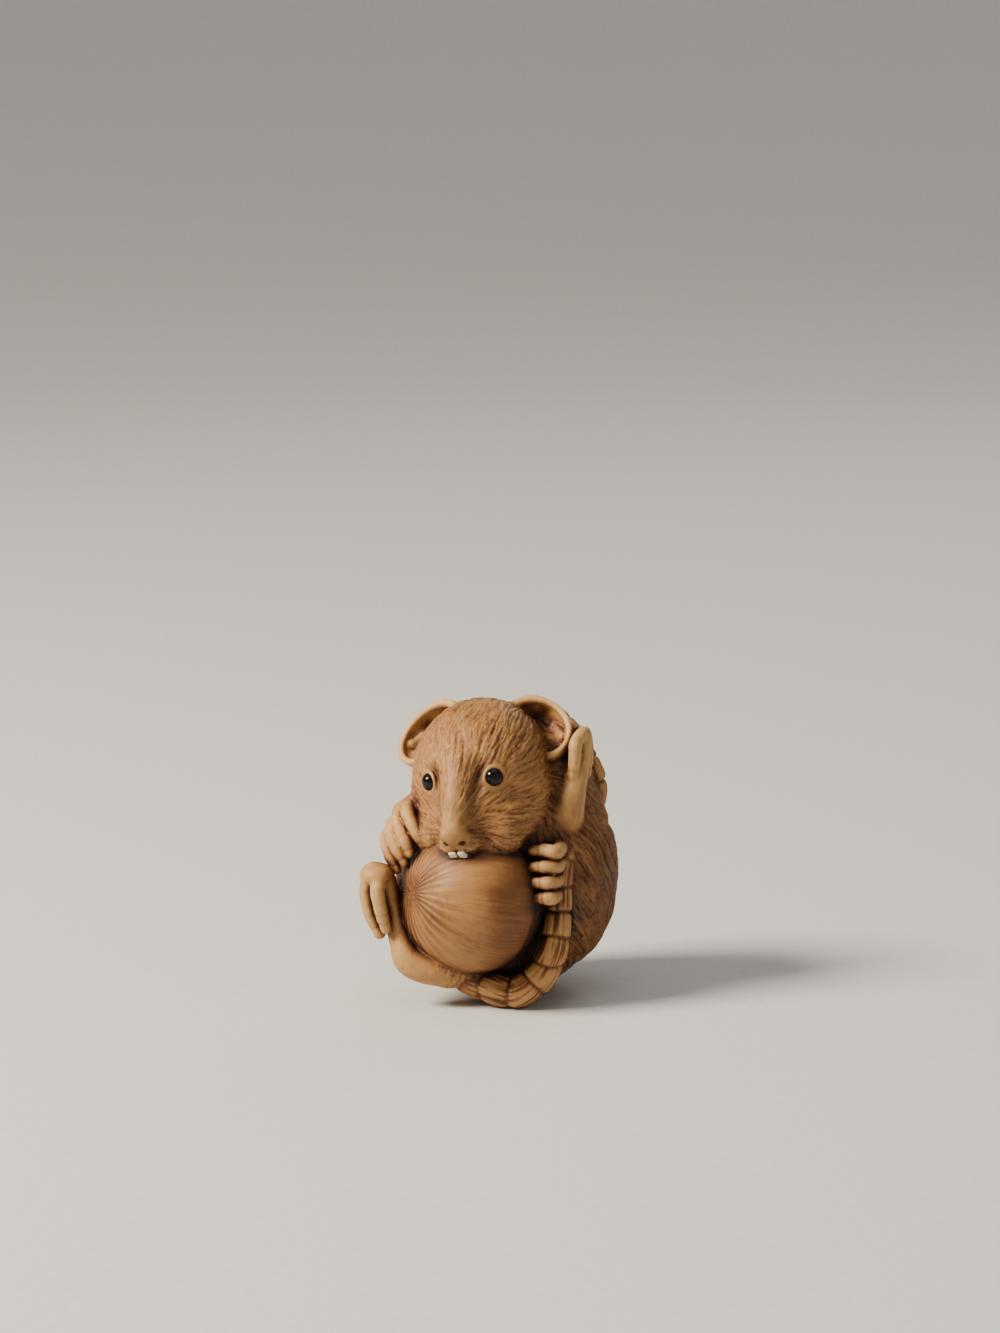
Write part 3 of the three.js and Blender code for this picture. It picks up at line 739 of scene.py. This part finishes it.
def ear_relief(points, side):
    """Soft folds that run up the inside of the ear."""
    p = (points - in_head(EARS[side][0])) @ ear_axes(side).T
    turn = np.arctan2(p[:, 1], p[:, 0])
    inside = step(0.2, 1.2, -p[:, 2]) * (1 - step(3.2, 4.0, np.hypot(p[:, 0], p[:, 1])))
    fold = np.cos(5 * turn + 0.8 * p[:, 2]) + 0.5 * mottle(points, 1.1)
    deep = inside * step(0.6, 2.6, -p[:, 2])
    return 0.12 * inside * fold, np.clip(-fold, 0, 1) * inside * 0.35 + 0.75 * deep


def relief(points, own, cover, coat):
    """The height and the stain of everything the knife did, with some painted shade, at points on
    the plain forms.
    """
    fine, broad = (np.clip(coat[name], -1.7, 1.7) for name in ("fine", "broad"))
    lock = 0.04 + 0.06 * own["trunk"]  # the body's locks stand higher than the head's
    height = cover * (0.045 * fine + 0.05 * broad + lock * coat["locks"] - 0.11 * coat["cuts"])
    sunk = 0.15 * np.clip(-fine, 0, 2) + 0.07 * np.clip(-broad, 0, 2) + 0.3 * coat["cuts"]
    sunk = sunk * (0.75 + 0.25 * own["trunk"])
    # The body is darkened all over: partly a deeper stain, partly painted shade on the body that
    # sits back and to the side.
    stain = cover * np.clip(sunk - 0.05 * coat["locks"] + 0.25 * own["trunk"] - 0.04, 0, 1)

    def lay(share, made):
        nonlocal height, stain
        height = height + share * made[0]
        stain = np.maximum(stain, share * made[1])

    clear = step(0.3, 2.0, cord_holes(points)) * step(0.5, 4.0, points[:, 2])
    lay(own["trunk"] * clear, back_relief(points))
    lay(own["tail"], tail_relief(points))
    lay(own["nut"], nut_relief(points))
    lay(own["head"], face_relief(points))
    lay(own["left_ear"], ear_relief(points, 1))
    lay(own["right_ear"], ear_relief(points, -1))
    for name, (creases, claw) in DIGITS.items():
        for limb in skin_limbs[name]:
            d = limb.nearest(points, 0.5)[0]
            share = own[name] * np.exp(-np.clip(d, 0, None) / 0.12)
            lay(share, digit_relief(points, limb, creases, claw))
    shaved = 0.03 * mottle(points, 1.4) + 0.02 * mottle(points + 9, 0.6)
    return height + shaved * (1 - 0.6 * own["nut"]), stain


# ---- the carving -----------------------------------------------------------------------------
def coordinates(mesh):
    out = np.empty(len(mesh.vertices) * 3)
    mesh.vertices.foreach_get("co", out)
    return out.reshape(-1, 3)


def put_coordinates(mesh, points):
    mesh.vertices.foreach_set("co", np.ascontiguousarray(points, dtype=np.float32).ravel())
    mesh.update()


def mesh_normals(mesh):
    out = np.empty(len(mesh.vertices) * 3, dtype=np.float32)
    mesh.vertex_normals.foreach_get("vector", out)
    return out.reshape(-1, 3).astype(float)


def new_object(name, mesh):
    made = bpy.data.objects.new(name, mesh)
    bpy.context.scene.collection.objects.link(made)
    return made


def finished(thing):
    """The mesh with its modifiers worked in, in place of the plain one."""
    graph = bpy.context.evaluated_depsgraph_get()
    mesh = bpy.data.meshes.new_from_object(thing.evaluated_get(graph))
    old = thing.data
    thing.modifiers.clear()
    thing.data = mesh
    bpy.data.meshes.remove(old)
    return mesh


def block_of(node):
    """A copy of a solid of the frame, in millimetres, with its loose triangles joined."""
    shape = bmesh.new()
    shape.from_mesh(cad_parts[node].data)
    bmesh.ops.remove_doubles(shape, verts=shape.verts, dist=1e-7)
    bmesh.ops.scale(shape, vec=Vector((1, 1, 1)) / MM, verts=shape.verts)
    mesh = bpy.data.meshes.new(node + "_block")
    shape.to_mesh(mesh)
    shape.free()
    return mesh


def keep(mesh, **marks):
    """Marks left on the wood for the finish to follow."""
    for name, values in marks.items():
        flat = values.ndim == 1
        layer = mesh.attributes.new(name, "FLOAT" if flat else "FLOAT_VECTOR", "POINT")
        layer.data.foreach_set("value" if flat else "vector", values.astype(np.float32).ravel())


def thickness(points, own, cover):
    """Where the coat is thick enough to stand in locks: the body, and the head behind the face."""
    p = (points - HEAD_MIDDLE) @ HEAD_AXES.T
    from_nose = np.linalg.norm(p - (0, NOSE_REACH, 0), axis=1)
    crown = step(-2, 4, p[:, 2]) * (1 - step(3.5, 6.5, np.abs(p[:, 0])))
    return cover * np.maximum(own["trunk"], 0.6 * step(4.0, 9.0, from_nose) * (1 - crown))


def carve():
    thing = new_object("rat_and_chestnut_carving", block_of("rat_and_chestnut"))
    skin = thing.modifiers.new("even_skin", "REMESH")
    skin.mode = "VOXEL"
    skin.voxel_size = GRAIN_OF_MESH
    mesh = finished(thing)

    # The faceted block is drawn out to the smooth forms, evened, and drawn out again.
    points = coordinates(mesh)
    for _ in range(3):
        move = np.clip(whole(points), -0.35, 0.35) * 0.9
        points = points - mesh_normals(mesh) * move[:, None]
        put_coordinates(mesh, points)
    even = thing.modifiers.new("even_out", "SMOOTH")
    even.factor, even.iterations = 0.5, 3
    mesh = finished(thing)
    points = coordinates(mesh)
    for _ in range(4):
        off = whole(points)
        astray = np.flatnonzero(np.abs(off) > 0.02)
        move = np.clip(off[astray], -FACET_DEPTH, FACET_DEPTH)
        points[astray] -= slope(points[astray], off[astray]) * move[:, None]
    put_coordinates(mesh, points)
    normals = mesh_normals(mesh)
    parts = groups(points)
    own = shares(parts)
    cover, ways = hair(points, normals, own)

    # Strands wherever there is hair, single deep cuts among them, and locks where it is thick.
    finder = Finder(points)
    coat = {
        "fine": combed(points, normals, ways, finder, mottle(points, 0.17), 1.5),
        "broad": combed(points, normals, ways, finder, mottle(points + 70, 0.36), 2.4),
    }
    tree = tree_of(points)
    strokes = lay_strokes(points, normals, ways, cover, HAIR_CUT_LONG, HAIR_CUT_APART,
                          HAIR_CUT_TRIES)
    thick = thickness(points, own, cover)
    tufts = lay_strokes(points, normals, ways, thick, LOCK_LONG, LOCK_APART, LOCK_TRIES)
    coat["cuts"] = worked(points, tree, strokes, hair_cut)
    coat["locks"] = worked(points, tree, tufts, lock_rise)
    height, stain = relief(points, own, cover, coat)
    put_coordinates(mesh, points + normals * height[:, None])
    keep(mesh, stain=stain, hair=np.maximum(cover, 0.35), lie=lie_of_surface(points, own))

    thin = thing.modifiers.new("thin_out", "DECIMATE")
    thin.ratio = MOST_TRIANGLES / sum(len(f.vertices) - 2 for f in mesh.polygons)
    mesh = finished(thing)

    # What the finish follows: painted shade, with the stain that gathers in the hollows, and pale
    # wood where hands have rubbed.
    points = coordinates(mesh)
    normals = mesh_normals(mesh)
    raised = whole(points)
    hidden = np.zeros(len(points))
    # Painted shade: the wood is darkened where nearby carving closes in round a point, over three
    # reaches, together with the stain that gathers there.
    for reach, weight in ((0.5, 0.3), (1.3, 0.4), (3.0, 0.3)):
        free = whole(points + normals * reach) - 0.7 * raised
        hidden += weight * np.clip(1 - free / reach, 0, 1)
    rubbed = np.zeros(len(points))
    for reach, weight in ((0.9, 0.35), (2.0, 0.35), (4.5, 0.3)):
        inside = whole(points - normals * reach) - raised
        rubbed += weight * np.clip(1 + inside / reach, 0, 1)
    keep(mesh, hidden=hidden, rubbed=rubbed)
    put_coordinates(mesh, points * MM)
    mesh.shade_smooth()
    return thing


def inlaid_eye(name, side):
    """A horn pellet: its front is a polished dome, and behind that it narrows to a peg."""
    shape = bmesh.new()
    bmesh.ops.create_uvsphere(shape, u_segments=48, v_segments=32, radius=EYE_RADIUS * MM)
    peg = [v for v in shape.verts if v.co.z < -0.1 * EYE_RADIUS * MM]
    bmesh.ops.scale(shape, vec=(0.82, 0.82, 1.0), verts=peg)
    turn = Vector(eye_faces[side]).to_track_quat("Z", "Y").to_matrix()
    bmesh.ops.rotate(shape, cent=(0, 0, 0), matrix=turn, verts=shape.verts)
    bmesh.ops.translate(shape, vec=Vector(eye_middle[side]) * MM, verts=shape.verts)
    return shaped(name, shape)


def inlaid_tooth(name, side):
    """A bone chisel, a little narrower at the root and ground thin at its biting edge."""
    wide, deep, tall = TOOTH_SIZE
    shape = bmesh.new()
    bmesh.ops.create_cube(shape, size=1.0)
    bmesh.ops.scale(shape, vec=(wide, deep, tall), verts=shape.verts)
    rails = [e for e in shape.edges if abs(e.verts[0].co.z - e.verts[1].co.z) > 0.5 * tall]
    bmesh.ops.subdivide_edges(shape, edges=rails, cuts=3, use_grid_fill=True)
    for v in shape.verts:
        share = v.co.z / tall + 0.5
        v.co.x *= 0.98 - 0.12 * share
        if v.co.y > 0:
            v.co.y *= 0.45 + 0.55 * min(1, share * 1.8)
        v.co.y += 0.06 * deep * math.cos(math.pi * share)
    rounded = [e for e in shape.edges if e.calc_face_angle(0) > 0.6]
    bmesh.ops.bevel(shape, geom=rounded, offset=0.17, segments=4, profile=0.5, affect="EDGES",
                    material=-1)
    bmesh.ops.recalc_face_normals(shape, faces=shape.faces)
    head_turn = Matrix((right, -forward, up)).transposed()
    turn = head_turn @ Matrix.Rotation(TOOTH_LEAN, 3, "X")
    bmesh.ops.rotate(shape, cent=(0, 0, 0), matrix=turn, verts=shape.verts)
    at = in_head((side * TOOTH_MIDDLE[0], TOOTH_MIDDLE[1], TOOTH_MIDDLE[2]))
    bmesh.ops.translate(shape, vec=Vector(at), verts=shape.verts)
    bmesh.ops.scale(shape, vec=Vector((MM, MM, MM)), verts=shape.verts)
    return shaped(name, shape)


def shaped(name, shape):
    mesh = bpy.data.meshes.new(name)
    shape.to_mesh(mesh)
    shape.free()
    mesh.shade_smooth()
    return new_object(name, mesh)


# ---- finishes --------------------------------------------------------------------------------
def colour(code):
    """A colour given as the eye sees it, made linear for the shader."""
    parts = [int(code[i:i + 2], 16) / 255 for i in (1, 3, 5)]
    return [p / 12.92 if p <= 0.04045 else ((p + 0.055) / 1.055) ** 2.4 for p in parts] + [1]


def new_finish(name):
    finish = bpy.data.materials.new(name)
    finish.use_nodes = True
    return finish, finish.node_tree, finish.node_tree.nodes["Principled BSDF"]


def add(tree, kind, inputs=None, stops=None, **settings):
    """A node with its settings, its inputs set or linked, and a ramp's stops."""
    made = tree.nodes.new("ShaderNode" + kind)
    for name, value in settings.items():
        setattr(made, name, value)
    for place, value in (inputs or {}).items():
        if isinstance(value, bpy.types.NodeSocket):
            tree.links.new(value, made.inputs[place])
        else:
            made.inputs[place].default_value = value
    if stops:
        elements = made.color_ramp.elements
        while len(elements) < len(stops):
            elements.new(0.5)
        for element, (place, code) in zip(elements, stops):
            element.position, element.color = place, colour(code)
    return made


def boxwood():
    """Old boxwood, stained and then rubbed back: red-brown in every cut and hollow, with painted
    shade deepening the hollows, the body and the nut's base, honey on the rounds, pale where
    fingers have worn it, with a soft satin polish."""
    finish, tree, shader = new_finish("boxwood")
    place = add(tree, "TexCoord").outputs["Object"]
    marks = {name: add(tree, "Attribute", attribute_name=name).outputs["Fac"]
             for name in ("stain", "hidden", "rubbed", "hair")}
    lie = add(tree, "Attribute", attribute_name="lie").outputs["Vector"]
    # Clouds of colour 9 mm across, flecks of 0.7 mm, and hair lines and pores about 0.4 mm apart.
    cloud = add(tree, "TexNoise", {"Vector": place, "Scale": 1 / (9 * MM),
                                   "Detail": 3.0}).outputs["Fac"]
    fleck = add(tree, "TexNoise", {"Vector": place, "Scale": 1 / (0.7 * MM),
                                   "Detail": 4.0}).outputs["Fac"]
    lines = add(tree, "TexNoise", {"Vector": lie, "Scale": 1 / 0.36, "Detail": 2.0,
                                   "Roughness": 0.7})
    cut_lines = add(tree, "MapRange", {"Value": lines.outputs["Fac"], "From Min": 0.34,
                                       "From Max": 0.5, "To Min": -1.0,
                                       "To Max": 0.0}).outputs[0]
    cut_lines = add(tree, "Math", {0: cut_lines, 1: marks["hair"]}, operation="MULTIPLY").outputs[0]
    pores = add(tree, "TexVoronoi", {"Vector": lie, "Scale": 1 / 0.45}).outputs["Distance"]

    # The tone is darkened by the stain, which carries some painted shade, and by painted shade in
    # the hollows. It is lifted where the wood is rubbed.
    tone = 0.54
    for amount, weight in ((marks["rubbed"], 0.28), (marks["stain"], -0.5),
                           (marks["hidden"], -0.62), (cloud, 0.38), (fleck, 0.12),
                           (cut_lines, 0.15)):
        tone = add(tree, "Math", {0: amount, 1: weight, 2: tone},
                   operation="MULTIPLY_ADD").outputs[0]
    tone = add(tree, "Math", {0: tone, 1: 0.2}, operation="SUBTRACT").outputs[0]
    wood = add(tree, "ValToRGB", {"Fac": tone}, stops=[
        (0.0, "#1c0d06"), (0.2, "#45240f"), (0.42, "#7a4e27"), (0.62, "#a87b48"), (0.82, "#c8a067"),
        (1.0, "#dbbb84")]).outputs["Color"]
    redden = add(tree, "MapRange", {"Value": cloud, "From Min": 0.5, "From Max": 0.72,
                                    "To Max": 0.4})
    warm = add(tree, "Mix", {0: redden.outputs[0], 6: wood, 7: colour("#cf8f63")}, data_type="RGBA",
               blend_type="MULTIPLY").outputs[2]
    pit = add(tree, "MapRange", {"Value": pores, "From Max": 0.14, "To Min": 0.25,
                                 "To Max": 0.0}).outputs[0]
    pitted = add(tree, "Mix", {0: pit, 6: warm, 7: colour("#5b3618")}, data_type="RGBA").outputs[2]
    tree.links.new(pitted, shader.inputs["Base Color"])

    dull = 0.43
    for amount, weight in ((marks["stain"], 0.2), (marks["hidden"], 0.15), (fleck, 0.1)):
        dull = add(tree, "Math", {0: amount, 1: weight, 2: dull},
                   operation="MULTIPLY_ADD").outputs[0]
    tree.links.new(dull, shader.inputs["Roughness"])
    skin = add(tree, "Math", {0: fleck, 1: 0.25, 2: cut_lines}, operation="MULTIPLY_ADD").outputs[0]
    bump = add(tree, "Bump", {"Height": skin, "Distance": 0.06 * MM, "Strength": 0.7})
    tree.links.new(bump.outputs["Normal"], shader.inputs["Normal"])
    shader.inputs["IOR"].default_value = 1.5
    shader.inputs["Specular IOR Level"].default_value = 0.33
    return finish


def horn():
    """Buffalo horn polished like glass, near black with a faint brown cloud in it."""
    finish, tree, shader = new_finish("horn")
    place = add(tree, "TexCoord").outputs["Object"]
    cloud = add(tree, "TexNoise", {"Vector": place, "Scale": 1 / (0.8 * MM),
                                   "Detail": 2.0}).outputs["Fac"]
    tint = add(tree, "ValToRGB", {"Fac": cloud}, stops=[(0.35, "#080605"), (0.8, "#1d120b")])
    tree.links.new(tint.outputs["Color"], shader.inputs["Base Color"])
    wear = add(tree, "Math", {0: cloud, 1: 0.06, 2: 0.04}, operation="MULTIPLY_ADD").outputs[0]
    tree.links.new(wear, shader.inputs["Roughness"])
    shader.inputs["IOR"].default_value = 1.55
    shader.inputs["Specular IOR Level"].default_value = 0.22
    return finish


def bone():
    """Polished bone: cream, with faint lengthwise canals."""
    finish, tree, shader = new_finish("bone")
    place = add(tree, "TexCoord").outputs["Object"]
    along = add(tree, "Mapping", {"Vector": place, "Scale": (1.0, 1.0, 0.15)}).outputs[0]
    canals = add(tree, "TexNoise", {"Vector": along, "Scale": 1 / (0.12 * MM), "Detail": 2.0})
    tint = add(tree, "ValToRGB", {"Fac": canals.outputs["Fac"]},
               stops=[(0.3, "#d9c9a4"), (0.55, "#ece2c9"), (0.8, "#f3ecd9")])
    tree.links.new(tint.outputs["Color"], shader.inputs["Base Color"])
    shader.inputs["Roughness"].default_value = 0.3
    shader.inputs["IOR"].default_value = 1.54
    return finish


def studio_paper():
    """Plain pale backing paper."""
    finish, tree, shader = new_finish("studio_paper")
    place = add(tree, "TexCoord").outputs["Object"]
    tooth = add(tree, "TexNoise", {"Vector": place, "Scale": 900.0, "Detail": 2.0}).outputs["Fac"]
    tint = add(tree, "ValToRGB", {"Fac": tooth}, stops=[(0.3, "#cfcecb"), (0.7, "#d6d5d2")])
    tree.links.new(tint.outputs["Color"], shader.inputs["Base Color"])
    shader.inputs["Roughness"].default_value = 0.8
    return finish


# ---- the pieces put together -----------------------------------------------------------------
def place_piece(piece, node, finish):
    piece.data.materials.clear()
    piece.data.materials.append(finish)
    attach(piece, "root")
    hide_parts(node)


horn_finish, bone_finish = horn(), bone()
place_piece(carve(), "rat_and_chestnut", boxwood())
for side, name in ((1, "left"), (-1, "right")):
    place_piece(inlaid_eye(name + "_eye_inlay", side), name + "_eye", horn_finish)
    place_piece(inlaid_tooth(name + "_tooth_inlay", side), name + "_tooth", bone_finish)


# ---- studio ----------------------------------------------------------------------------------
def lamp(name, at, aim, size, watts, tint):
    data = bpy.data.lights.new(name, "AREA")
    data.size, data.energy, data.color = size, watts, colour(tint)[:3]
    made = bpy.data.objects.new(name, data)
    made.location = at
    made.rotation_euler = (Vector(aim) - Vector(at)).to_track_quat("-Z", "Y").to_euler()
    bpy.context.scene.collection.objects.link(made)


# The floor is flat for 0.7 m round the carving, and then sweeps up to a wall on every side.
sheet = bmesh.new()
bmesh.ops.create_circle(sheet, cap_ends=True, radius=0.7, segments=96)
rim = [e for e in sheet.edges if len(e.link_faces) == 1]
for reach, lift in ((1.3, 0.015), (1.3, 0.07), (1.25, 0.19), (1.2, 0.42), (1.12, 0.75),
                    (1.05, 1.15), (1.0, 1.8)):
    grown = bmesh.ops.extrude_edge_only(sheet, edges=rim)["geom"]
    rim = [e for e in grown if isinstance(e, bmesh.types.BMEdge) and len(e.link_faces) == 1]
    ring = list({v for e in rim for v in e.verts})
    bmesh.ops.scale(sheet, vec=(reach, reach, 1), verts=ring)
    bmesh.ops.translate(sheet, vec=(0, 0, lift - ring[0].co.z), verts=ring)
bmesh.ops.recalc_face_normals(sheet, faces=sheet.faces)
if sum(f.normal.z for f in sheet.faces) < 0:
    bmesh.ops.reverse_faces(sheet, faces=sheet.faces)
floor = shaped("floor", sheet)
floor.data.materials.append(studio_paper())

aim = (0, 0, 20 * MM)
lamp("key", (-0.53, -0.17, 0.50), aim, 0.24, 12.5, "#fff3e0")
lamp("fill", (0.55, -0.5, 0.25), aim, 0.60, 0.4, "#fbf8f4")
lamp("rim", (0.25, 0.55, 0.45), aim, 0.30, 0.8, "#fff6ea")
lamp("overhead", (0, 0, 3.0), aim, 3.0, 24.0, "#fbfaf8")
world = bpy.data.worlds.new("studio_air")
world.use_nodes = True
world.node_tree.nodes["Background"].inputs["Color"].default_value = colour("#dfe1e4")
world.node_tree.nodes["Background"].inputs["Strength"].default_value = 0.1
bpy.context.scene.world = world

view = bpy.data.cameras.new("camera")
view.sensor_fit, view.sensor_height, view.lens = "VERTICAL", 24.0, 82.8
view.clip_start, view.clip_end = 0.01, 50
camera = bpy.data.objects.new("camera", view)
looked_at = Vector((0, 0, 43.6 * MM))
rise = math.radians(10)  # it looks down a little from 0.6 m away
camera.location = looked_at + 600 * MM * Vector((0, -math.cos(rise), math.sin(rise)))
camera.rotation_euler = (looked_at - camera.location).to_track_quat("-Z", "Y").to_euler()
bpy.context.scene.collection.objects.link(camera)
bpy.context.scene.camera = camera
